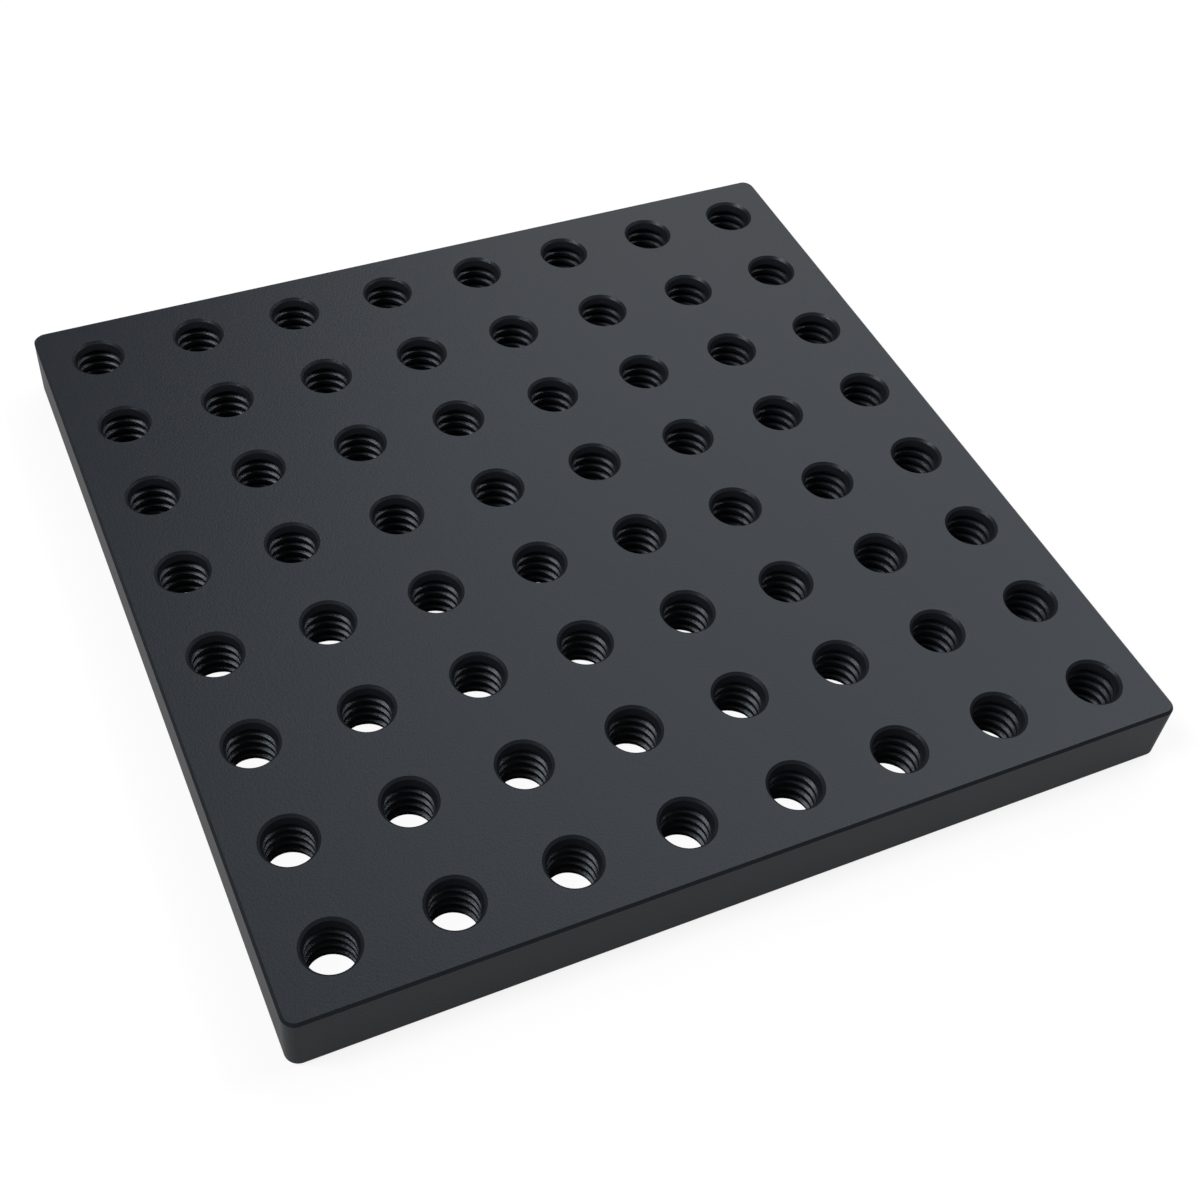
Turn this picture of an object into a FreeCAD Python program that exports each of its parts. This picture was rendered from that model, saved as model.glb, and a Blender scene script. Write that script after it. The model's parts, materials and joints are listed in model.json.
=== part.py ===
"""Square fixture plate: one machined slab with a grid of tapped through holes.

The frame's origin is the centre of the bottom face. +Z is up through the
thickness, and the grid's columns run along X and its rows along Y. Lengths are
in millimetres. Each hole is modelled as the plain bore at the crest of its
thread. Its upper mouth is a small chamfer over a steep lead-in, and below the
thread a wider relief opens in the bottom face.
"""
import os

import FreeCAD
import Part

# Hole grid: 1/4 in threads on half-inch centres.
hole_columns = 8
hole_rows = 8
hole_pitch = 12.7
thread_minor_diameter = 5.25

# Hole mouths, measured from the face that each one opens in.
mouth_diameter = 6.4
lead_in_depth = 1.0  # where the lead-in meets the bore
relief_diameter = 7.2
relief_depth = 1.6
mouth_chamfer = 0.3  # at both mouths, 45 degrees

# Plate: the grid plus a border on every side.
edge_margin = 6.75  # outermost hole centre to the plate's side
plate_thickness = 7.94
corner_radius = 1.5  # upright corners
edge_chamfer = 0.3  # around the top and bottom faces

plate_width = (hole_columns - 1) * hole_pitch + 2 * edge_margin
plate_depth = (hole_rows - 1) * hole_pitch + 2 * edge_margin
cutter_overrun = 1.0  # how far each cutter reaches past a face


def upright(edge):
    """True for a straight edge that runs along Z."""
    start, end = (vertex.Point for vertex in edge.Vertexes)
    return abs(end.z - start.z) > plate_thickness / 2


def level(edge):
    """True for an edge that lies in the top or the bottom face."""
    return edge.BoundBox.ZLength < plate_thickness / 2


def make_slab():
    """The solid plate with its rounded corners and broken edges."""
    corner = FreeCAD.Vector(-plate_width / 2, -plate_depth / 2, 0)
    slab = Part.makeBox(plate_width, plate_depth, plate_thickness, corner)
    slab = slab.makeFillet(corner_radius, [edge for edge in slab.Edges if upright(edge)])
    return slab.makeChamfer(edge_chamfer, [edge for edge in slab.Edges if level(edge)])


def make_hole_cutter():
    """One hole's cutter about the Z axis: half its section, turned through a circle."""
    bore_radius = thread_minor_diameter / 2
    mouth_radius = mouth_diameter / 2
    relief_radius = relief_diameter / 2
    below = -cutter_overrun
    above = plate_thickness + cutter_overrun
    section = [
        (0, below),
        (relief_radius + mouth_chamfer + cutter_overrun, below),
        (relief_radius, mouth_chamfer),
        (relief_radius, relief_depth),
        (bore_radius, relief_depth),
        (bore_radius, plate_thickness - lead_in_depth),
        (mouth_radius - mouth_chamfer, plate_thickness - mouth_chamfer),
        (mouth_radius + cutter_overrun, above),
        (0, above),
        (0, below),
    ]
    outline = Part.makePolygon([FreeCAD.Vector(radius, 0, height) for radius, height in section])
    return Part.Face(outline).revolve(FreeCAD.Vector(0, 0, 0), FreeCAD.Vector(0, 0, 1), 360)


def grid_centres(count):
    """Positions of one line of holes, centred on the origin."""
    return [(index - (count - 1) / 2) * hole_pitch for index in range(count)]


def make_fixture_plate():
    """The slab with every hole of the grid cut through it."""
    cutter = make_hole_cutter()
    cutters = [
        cutter.translated(FreeCAD.Vector(centre_x, centre_y, 0))
        for centre_y in grid_centres(hole_rows)
        for centre_x in grid_centres(hole_columns)
    ]
    return make_slab().cut(cutters)


def main():
    os.makedirs("parts", exist_ok=True)
    plate = make_fixture_plate()
    plate.exportStep("parts/fixture_plate.step")
    print("fixture_plate solids", len(plate.Solids), "volume_mm3", round(plate.Volume, 2))


main()
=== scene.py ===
"""Black anodised fixture plate: its threaded holes, finish, studio light and camera."""
import json
import math

import bpy
import numpy as np
from mathutils import Matrix, Vector


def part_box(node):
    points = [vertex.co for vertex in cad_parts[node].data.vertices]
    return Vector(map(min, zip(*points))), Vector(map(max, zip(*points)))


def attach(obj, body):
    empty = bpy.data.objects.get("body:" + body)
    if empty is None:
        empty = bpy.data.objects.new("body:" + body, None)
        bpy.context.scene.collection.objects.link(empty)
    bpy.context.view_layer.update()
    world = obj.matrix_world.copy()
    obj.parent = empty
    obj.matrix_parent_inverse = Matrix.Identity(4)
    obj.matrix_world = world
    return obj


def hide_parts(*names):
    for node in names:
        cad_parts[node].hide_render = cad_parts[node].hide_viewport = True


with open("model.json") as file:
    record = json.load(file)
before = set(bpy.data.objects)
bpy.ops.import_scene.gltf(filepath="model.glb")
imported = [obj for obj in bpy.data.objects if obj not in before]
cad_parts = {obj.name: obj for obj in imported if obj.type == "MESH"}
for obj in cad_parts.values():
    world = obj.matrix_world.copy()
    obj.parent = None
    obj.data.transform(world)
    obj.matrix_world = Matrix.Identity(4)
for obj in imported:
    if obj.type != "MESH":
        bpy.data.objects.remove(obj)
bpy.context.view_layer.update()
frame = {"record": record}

MM = 0.001
FULL_TURN = 2 * math.pi

# The plate, as the frame gives it.
NODE = "fixture_plate"
BOX_LOW, BOX_HIGH = (np.array(corner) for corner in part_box(NODE))
HALF_WIDTH = (BOX_HIGH[0] - BOX_LOW[0]) / 2
THICKNESS = BOX_HIGH[2] - BOX_LOW[2]
HOLES = [mount for mount in frame["record"]["mounts"] if mount["kind"] == "threaded_hole"]
HOLE_CENTRES = np.array([mount["pos_m"][:2] for mount in HOLES])
HOLE_PITCH = np.diff(np.unique(HOLE_CENTRES[:, 0])).max()
CREST_RADIUS = HOLES[0]["dims"]["r_mm"] * MM

# Forms that the CAD has too.
CORNER_RADIUS = 1.5 * MM
EDGE_CHAMFER = 0.3 * MM
MOUTH_RADIUS = 3.2 * MM
MOUTH_CHAMFER = 0.3 * MM
LEAD_IN_DEPTH = 1.0 * MM
RELIEF_RADIUS = 3.6 * MM
RELIEF_DEPTH = 1.6 * MM

# The internal thread: 1/4 in, 20 turns to the inch.
THREAD_PITCH = 25.4 / 20 * MM
THREAD_MAJOR_RADIUS = 6.35 / 2 * MM
ROOT_FLAT = THREAD_PITCH / 8
FLANK_ANGLE = math.radians(30)
THREAD_START = 0.087  # how far round the first turn begins, as a share of a turn

# How finely the plate is meshed.
ANGLE_STEPS = 48
CORNER_STEPS = 10
BORDER = 1.8 * MM  # flat band between the holes' cells and the plate's sides
FLAT_HALF = HALF_WIDTH - BORDER
WELD = 1e-7  # points nearer than this become one
WELD_SHIFT = 0.37  # moves the points off the borders between rounding steps
NO_REACH = 1e-12  # a ray that reaches less than this along an axis is square to it
SHARP_ANGLE = math.radians(15)

# Finish: the grain is a noise texture that tilts the surface a little.
BASE_COLOUR = (0.012, 0.014, 0.018, 1.0)
ROUGHNESS = 0.36
SPECULAR = 0.35
SPECULAR_TINT = (0.82, 0.90, 1.0, 1.0)
GRAIN_SCALE = 4000.0
GRAIN_DETAIL = 2.0
GRAIN_STRENGTH = 0.5
GRAIN_DEPTH = 0.05 * MM

# Studio, in metres and watts.
FLOOR_HALF = 2.0
FLOOR_COLOUR = (0.17, 0.17, 0.17, 1.0)
FLOOR_GLOW = 0.85  # what the camera sees added to the floor around the plate
HOLE_GLOW = 0.95  # what it sees added under the plate, through the holes: painted light, as the plate shades the floor there
MIRRORED_GLOW = 0.32  # share of the glow around the plate that its sides mirror
WORLD_FILL = 0.15
WHITE = (1.0, 1.0, 1.0, 1.0)
LEFT_PLACE = (-0.37, 0.03, 0.59)
LEFT_SIZE = (0.25, 0.25)
LEFT_WATTS = 2.7
RIGHT_PLACE = (0.43, -0.02, 0.55)
RIGHT_SIZE = (0.2, 0.2)
RIGHT_WATTS = 1.0
BACK_PLACE = (0.37, 0.385, 0.59)
BACK_SIZE = (0.7, 0.7)
BACK_WATTS = 2.6

# Camera, placed in millimetres from the middle of the plate's top face.
SENSOR_WIDTH = 36.0
LENS = 51.965
LENS_SHIFT = 0.02  # as a share of the sensor's width
CLIP_START = 0.01  # in metres
CAMERA_PLACE = Vector((-66.15, -125.24, 147.53))
CAMERA_TARGET = Vector((-4.81, -13.07, 0.0))
CAMERA_ROLL = math.radians(6.085)


def turned(angles):
    """Unit vectors at the given angles."""
    return np.stack([np.cos(angles), np.sin(angles)], axis=-1)


HOLE_ANGLES = np.arange(ANGLE_STEPS) / ANGLE_STEPS * FULL_TURN
HOLE_RAYS = turned(HOLE_ANGLES)


def thread_corners():
    """Heights and radii of the corners of one turn: crest flat, flank, root flat, flank.

    Each flank leans 30 degrees from square to the axis.
    """
    flank = (THREAD_MAJOR_RADIUS - CREST_RADIUS) * math.tan(FLANK_ANGLE)
    crest_flat = THREAD_PITCH - ROOT_FLAT - 2 * flank
    heights = np.cumsum([0.0, crest_flat, flank, ROOT_FLAT])
    radii = np.array([CREST_RADIUS, CREST_RADIUS, THREAD_MAJOR_RADIUS, THREAD_MAJOR_RADIUS])
    return heights, radii


def thread_rise(angles):
    """How far the thread has climbed at each angle: one pitch in a full turn, right-handed."""
    return (angles / FULL_TURN + THREAD_START) % 1.0 * THREAD_PITCH


def thread_wall():
    """Vertices and quads of the threaded wall between the two mouths.

    Columns stand at equal angles. Rows join the same corner of the thread in each
    column, so they climb one pitch in a full turn, and where the climb starts again
    a row meets the one a whole turn above it. Heights past a mouth are held at that
    mouth, with the radius that the thread has there.
    """
    low, high = RELIEF_DEPTH, THICKNESS - LEAD_IN_DEPTH
    corner_heights, corner_radii = thread_corners()
    per_turn = len(corner_heights)
    turns = math.ceil(THICKNESS / THREAD_PITCH) + 1
    heights = (np.arange(-1, turns)[:, None] * THREAD_PITCH + corner_heights).ravel()
    rise = thread_rise(HOLE_ANGLES)
    z = np.clip(heights[:, None] + rise, low, high)
    r = np.interp(z - rise, heights, np.tile(corner_radii, turns + 1))
    vertices = np.dstack([r[..., None] * HOLE_RAYS, z])

    rows = len(heights)
    index = np.arange(rows * ANGLE_STEPS).reshape(rows, ANGLE_STEPS)
    right = np.roll(index, -1, axis=1)
    wrap = int(np.argmax(rise))
    right[:-per_turn, wrap] = right[per_turn:, wrap]
    quads = np.stack([index[:-1], index[1:], right[1:], right[:-1]], axis=-1)
    return vertices.reshape(-1, 3), quads[:rows - 1 - per_turn].reshape(-1, 4)


def hole_ring(radius, z):
    """A level ring of points at the holes' angles."""
    return np.column_stack([radius * HOLE_RAYS, np.full(ANGLE_STEPS, z)])


def thread_ring(z):
    """The wall's outline where a level plane cuts the thread."""
    corner_heights, corner_radii = thread_corners()
    height_in_turn = z - thread_rise(HOLE_ANGLES)
    radius = np.interp(height_in_turn, corner_heights, corner_radii, period=THREAD_PITCH)
    return np.column_stack([radius[:, None] * HOLE_RAYS, np.full(ANGLE_STEPS, z)])


def loft(loops):
    """Vertices and quads of a skin through closed loops with equal numbers of points."""
    count = len(loops[0])
    index = np.arange(len(loops) * count).reshape(len(loops), count)
    right = np.roll(index, -1, axis=1)
    quads = np.stack([index[:-1], index[1:], right[1:], right[:-1]], axis=-1)
    return np.concatenate(loops), quads.reshape(-1, 4)


def cell_outline(centre, z):
    """A hole's cell edge: where a ray at each of the hole's angles leaves its square cell.

    The cell reaches half a hole pitch each way, and an outer cell stops at the border.
    """
    rays = np.where(np.abs(HOLE_RAYS) < NO_REACH, 0.0, HOLE_RAYS)
    unit = rays / np.abs(rays).max(axis=1, keepdims=True)
    reach_high = np.minimum(HOLE_PITCH / 2, FLAT_HALF - centre)
    reach_low = np.minimum(HOLE_PITCH / 2, FLAT_HALF + centre)
    offsets = np.where(unit > 0, unit * reach_high, unit * reach_low)
    return np.column_stack([offsets, np.full(ANGLE_STEPS, z)])


def hole_skins(centre):
    """The skins of one hole and its cell, from the cell's top edge down to its bottom edge."""
    thread_top = THICKNESS - LEAD_IN_DEPTH
    top = [
        cell_outline(centre, THICKNESS),
        hole_ring(MOUTH_RADIUS, THICKNESS),
        hole_ring(MOUTH_RADIUS - MOUTH_CHAMFER, THICKNESS - MOUTH_CHAMFER),
        hole_ring(CREST_RADIUS, thread_top),
        thread_ring(thread_top),
    ]
    underside = [
        thread_ring(RELIEF_DEPTH),
        hole_ring(RELIEF_RADIUS, RELIEF_DEPTH),
        hole_ring(RELIEF_RADIUS, MOUTH_CHAMFER),
        hole_ring(RELIEF_RADIUS + MOUTH_CHAMFER, 0.0),
        cell_outline(centre, 0.0),
    ]
    return [loft(top[::-1]), thread_wall(), loft(underside[::-1])]


def square_loop(half, radius, stops, z):
    """A square outline with rounded corners, against the clock, with points at each side's stops."""
    sweep = np.linspace(0, math.pi / 2, CORNER_STEPS + 1)
    side = np.column_stack([stops, np.full(len(stops), -half)])
    corner = (half - radius) * np.array([1, -1]) + radius * turned(sweep - math.pi / 2)
    quarter = np.concatenate([side, corner])
    x, y = quarter.T
    points = np.concatenate([np.column_stack(pair) for pair in ((x, y), (-y, x), (-x, -y), (y, -x))])
    return np.column_stack([points, np.full(len(points), z)])


def border_skin():
    """The plate's border and sides, from the cells' top edge over both chamfers to the bottom."""
    outlines = np.concatenate([centre + cell_outline(centre, 0.0)[:, :2] for centre in HOLE_CENTRES])
    on_front = np.abs(outlines[:, 1] + FLAT_HALF) < WELD
    stops = np.unique(np.round(outlines[on_front, 0], 9))
    return loft([
        square_loop(FLAT_HALF, 0.0, stops, THICKNESS),
        square_loop(HALF_WIDTH - EDGE_CHAMFER, CORNER_RADIUS - EDGE_CHAMFER, stops, THICKNESS),
        square_loop(HALF_WIDTH, CORNER_RADIUS, stops, THICKNESS - EDGE_CHAMFER),
        square_loop(HALF_WIDTH, CORNER_RADIUS, stops, EDGE_CHAMFER),
        square_loop(HALF_WIDTH - EDGE_CHAMFER, CORNER_RADIUS - EDGE_CHAMFER, stops, 0.0),
        square_loop(FLAT_HALF, 0.0, stops, 0.0),
    ])


def join_skins(skins):
    """One welded surface: points that share a place become one, and empty triangles go."""
    vertices = np.concatenate([points for points, _ in skins])
    starts = np.cumsum([0] + [len(points) for points, _ in skins[:-1]])
    quads = np.concatenate([quads + start for (_, quads), start in zip(skins, starts)])
    keys = np.round(vertices / WELD + WELD_SHIFT).astype(np.int64)
    _, first, welded = np.unique(keys, axis=0, return_index=True, return_inverse=True)
    quads = welded.reshape(-1)[quads]
    triangles = np.concatenate([quads[:, [0, 1, 2]], quads[:, [0, 2, 3]]])
    a, b, c = triangles.T
    return vertices[first], triangles[(a != b) & (b != c) & (c != a)]


def plate_surface():
    """The whole plate as one closed surface."""
    skins = [border_skin()]
    for centre in HOLE_CENTRES:
        shift = np.append(centre, 0.0)
        skins += [(points + shift, quads) for points, quads in hole_skins(centre)]
    vertices, triangles = join_skins(skins)
    return vertices + np.array([0.0, 0.0, BOX_LOW[2]]), triangles


def make_mesh(name, vertices, triangles):
    """A mesh of triangles, smooth but for its sharp edges."""
    mesh = bpy.data.meshes.new(name)
    mesh.vertices.add(len(vertices))
    mesh.vertices.foreach_set("co", vertices.ravel())
    mesh.loops.add(triangles.size)
    mesh.loops.foreach_set("vertex_index", triangles.ravel().astype(np.int32))
    mesh.polygons.add(len(triangles))
    mesh.polygons.foreach_set("loop_start", np.arange(0, triangles.size, 3, dtype=np.int32))
    mesh.update(calc_edges=True)
    mesh.shade_smooth()
    mesh.set_sharp_from_angle(angle=SHARP_ANGLE)
    return mesh


def put(name, data):
    """Links an object at the origin."""
    piece = bpy.data.objects.new(name, data)
    bpy.context.collection.objects.link(piece)
    return piece


def add_node(tree, kind, **inputs):
    """A shader node with its named inputs set."""
    made = tree.nodes.new(kind)
    for name, value in inputs.items():
        made.inputs[name.replace("_", " ")].default_value = value
    return made


def calculate(tree, operation, *values):
    """The output of a maths node whose inputs are numbers or other nodes' outputs."""
    made = tree.nodes.new("ShaderNodeMath")
    made.operation = operation
    for socket, value in zip(made.inputs, values):
        if isinstance(value, bpy.types.NodeSocket):
            tree.links.new(value, socket)
        else:
            socket.default_value = value
    return made.outputs["Value"]


def black_anodising():
    """Fine bead-blasted black anodising: near-black with a cool cast and a satin sheen."""
    material = bpy.data.materials.new("black_anodising")
    material.use_nodes = True
    tree = material.node_tree
    link = tree.links.new
    shader = tree.nodes["Principled BSDF"]
    shader.inputs["Base Color"].default_value = BASE_COLOUR
    shader.inputs["Roughness"].default_value = ROUGHNESS
    shader.inputs["Specular IOR Level"].default_value = SPECULAR
    shader.inputs["Specular Tint"].default_value = SPECULAR_TINT
    place = add_node(tree, "ShaderNodeTexCoord")
    grain = add_node(tree, "ShaderNodeTexNoise", Scale=GRAIN_SCALE, Detail=GRAIN_DETAIL)
    link(place.outputs["Object"], grain.inputs["Vector"])
    bump = add_node(tree, "ShaderNodeBump", Strength=GRAIN_STRENGTH, Distance=GRAIN_DEPTH)
    link(grain.outputs["Fac"], bump.inputs["Height"])
    link(bump.outputs["Normal"], shader.inputs["Normal"])
    return material


def white_paper():
    """The floor: it takes the plate's shadow, and the camera sees it near white.

    The glow that does this is a little stronger under the plate, where the plate
    shades the floor and no lamp reaches: painted light, so that the holes show it
    white. Reflections see part of the glow around the plate.
    """
    material = bpy.data.materials.new("white_paper")
    material.use_nodes = True
    tree = material.node_tree
    link = tree.links.new
    tree.nodes.clear()
    out = add_node(tree, "ShaderNodeOutputMaterial")
    paper = add_node(tree, "ShaderNodeBsdfDiffuse", Color=FLOOR_COLOUR)
    glow = add_node(tree, "ShaderNodeEmission")
    place = add_node(tree, "ShaderNodeTexCoord")
    apart = add_node(tree, "ShaderNodeSeparateXYZ")
    link(place.outputs["Object"], apart.inputs["Vector"])
    from_middle = [calculate(tree, "ABSOLUTE", apart.outputs[axis]) for axis in "XY"]
    across = calculate(tree, "MAXIMUM", *from_middle)
    # Painted light: the floor under the plate, which the plate shades, glows more than the floor
    # around it.
    around = calculate(tree, "GREATER_THAN", across, float(FLAT_HALF))
    dimmed = calculate(tree, "MULTIPLY", around, FLOOR_GLOW - HOLE_GLOW)
    full = calculate(tree, "ADD", dimmed, HOLE_GLOW)
    path = add_node(tree, "ShaderNodeLightPath")
    mirrored = calculate(tree, "MULTIPLY", path.outputs["Is Glossy Ray"], around)
    mirrored = calculate(tree, "MULTIPLY", mirrored, MIRRORED_GLOW)
    share = calculate(tree, "MAXIMUM", path.outputs["Is Camera Ray"], mirrored)
    link(calculate(tree, "MULTIPLY", full, share), glow.inputs["Strength"])
    both = add_node(tree, "ShaderNodeAddShader")
    link(paper.outputs["BSDF"], both.inputs[0])
    link(glow.outputs["Emission"], both.inputs[1])
    link(both.outputs["Shader"], out.inputs["Surface"])
    return material


def make_floor():
    """A large level sheet just under the plate."""
    z = float(BOX_LOW[2])
    signs = ((-1, -1), (1, -1), (1, 1), (-1, 1))
    corners = [(x * FLOOR_HALF, y * FLOOR_HALF, z) for x, y in signs]
    mesh = bpy.data.meshes.new("floor")
    mesh.from_pydata(corners, [], [(0, 1, 2, 3)])
    floor = put("floor", mesh)
    mesh.materials.append(white_paper())


def make_world():
    """A dim studio around the plate, white only to the camera."""
    world = bpy.data.worlds.new("studio")
    bpy.context.scene.world = world
    world.use_nodes = True
    tree = world.node_tree
    link = tree.links.new
    tree.nodes.clear()
    out = add_node(tree, "ShaderNodeOutputWorld")
    dim = add_node(tree, "ShaderNodeBackground", Color=WHITE, Strength=WORLD_FILL)
    white = add_node(tree, "ShaderNodeBackground", Color=WHITE, Strength=1.0)
    path = add_node(tree, "ShaderNodeLightPath")
    pick = add_node(tree, "ShaderNodeMixShader")
    link(path.outputs["Is Camera Ray"], pick.inputs["Fac"])
    link(dim.outputs["Background"], pick.inputs[1])
    link(white.outputs["Background"], pick.inputs[2])
    link(pick.outputs["Shader"], out.inputs["Surface"])


def softbox(name, place, size, watts):
    """A rectangular lamp aimed at the plate."""
    lamp = bpy.data.lights.new(name, "AREA")
    lamp.shape = "RECTANGLE"
    lamp.size, lamp.size_y = size
    lamp.energy = watts
    box = put(name, lamp)
    box.location = place
    box.rotation_euler = (-Vector(place)).to_track_quat("-Z", "Y").to_euler()


def make_camera():
    """The camera, looking down at the plate from its front left and rolled a few degrees."""
    lens = bpy.data.cameras.new("camera")
    lens.sensor_width = SENSOR_WIDTH
    lens.lens = LENS
    lens.shift_x = LENS_SHIFT
    lens.clip_start = CLIP_START
    camera = put("camera", lens)
    top = Vector((0, 0, float(BOX_HIGH[2])))
    place = top + CAMERA_PLACE * MM
    aim = (top + CAMERA_TARGET * MM - place).to_track_quat("-Z", "Y").to_matrix()
    roll = Matrix.Rotation(CAMERA_ROLL, 3, "Z")
    camera.matrix_world = Matrix.Translation(place) @ (aim @ roll).to_4x4()
    bpy.context.scene.camera = camera


def make_plate():
    """The plate, in place of the plain one that the frame carries."""
    plate = put("threaded_plate", make_mesh("threaded_plate", *plate_surface()))
    plate.data.materials.append(black_anodising())
    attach(plate, "root")
    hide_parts(NODE)


make_plate()
make_floor()
make_world()
softbox("left_softbox", LEFT_PLACE, LEFT_SIZE, LEFT_WATTS)
softbox("back_softbox", BACK_PLACE, BACK_SIZE, BACK_WATTS)
softbox("right_softbox", RIGHT_PLACE, RIGHT_SIZE, RIGHT_WATTS)
make_camera()
bpy.context.scene.view_settings.view_transform = "Standard"
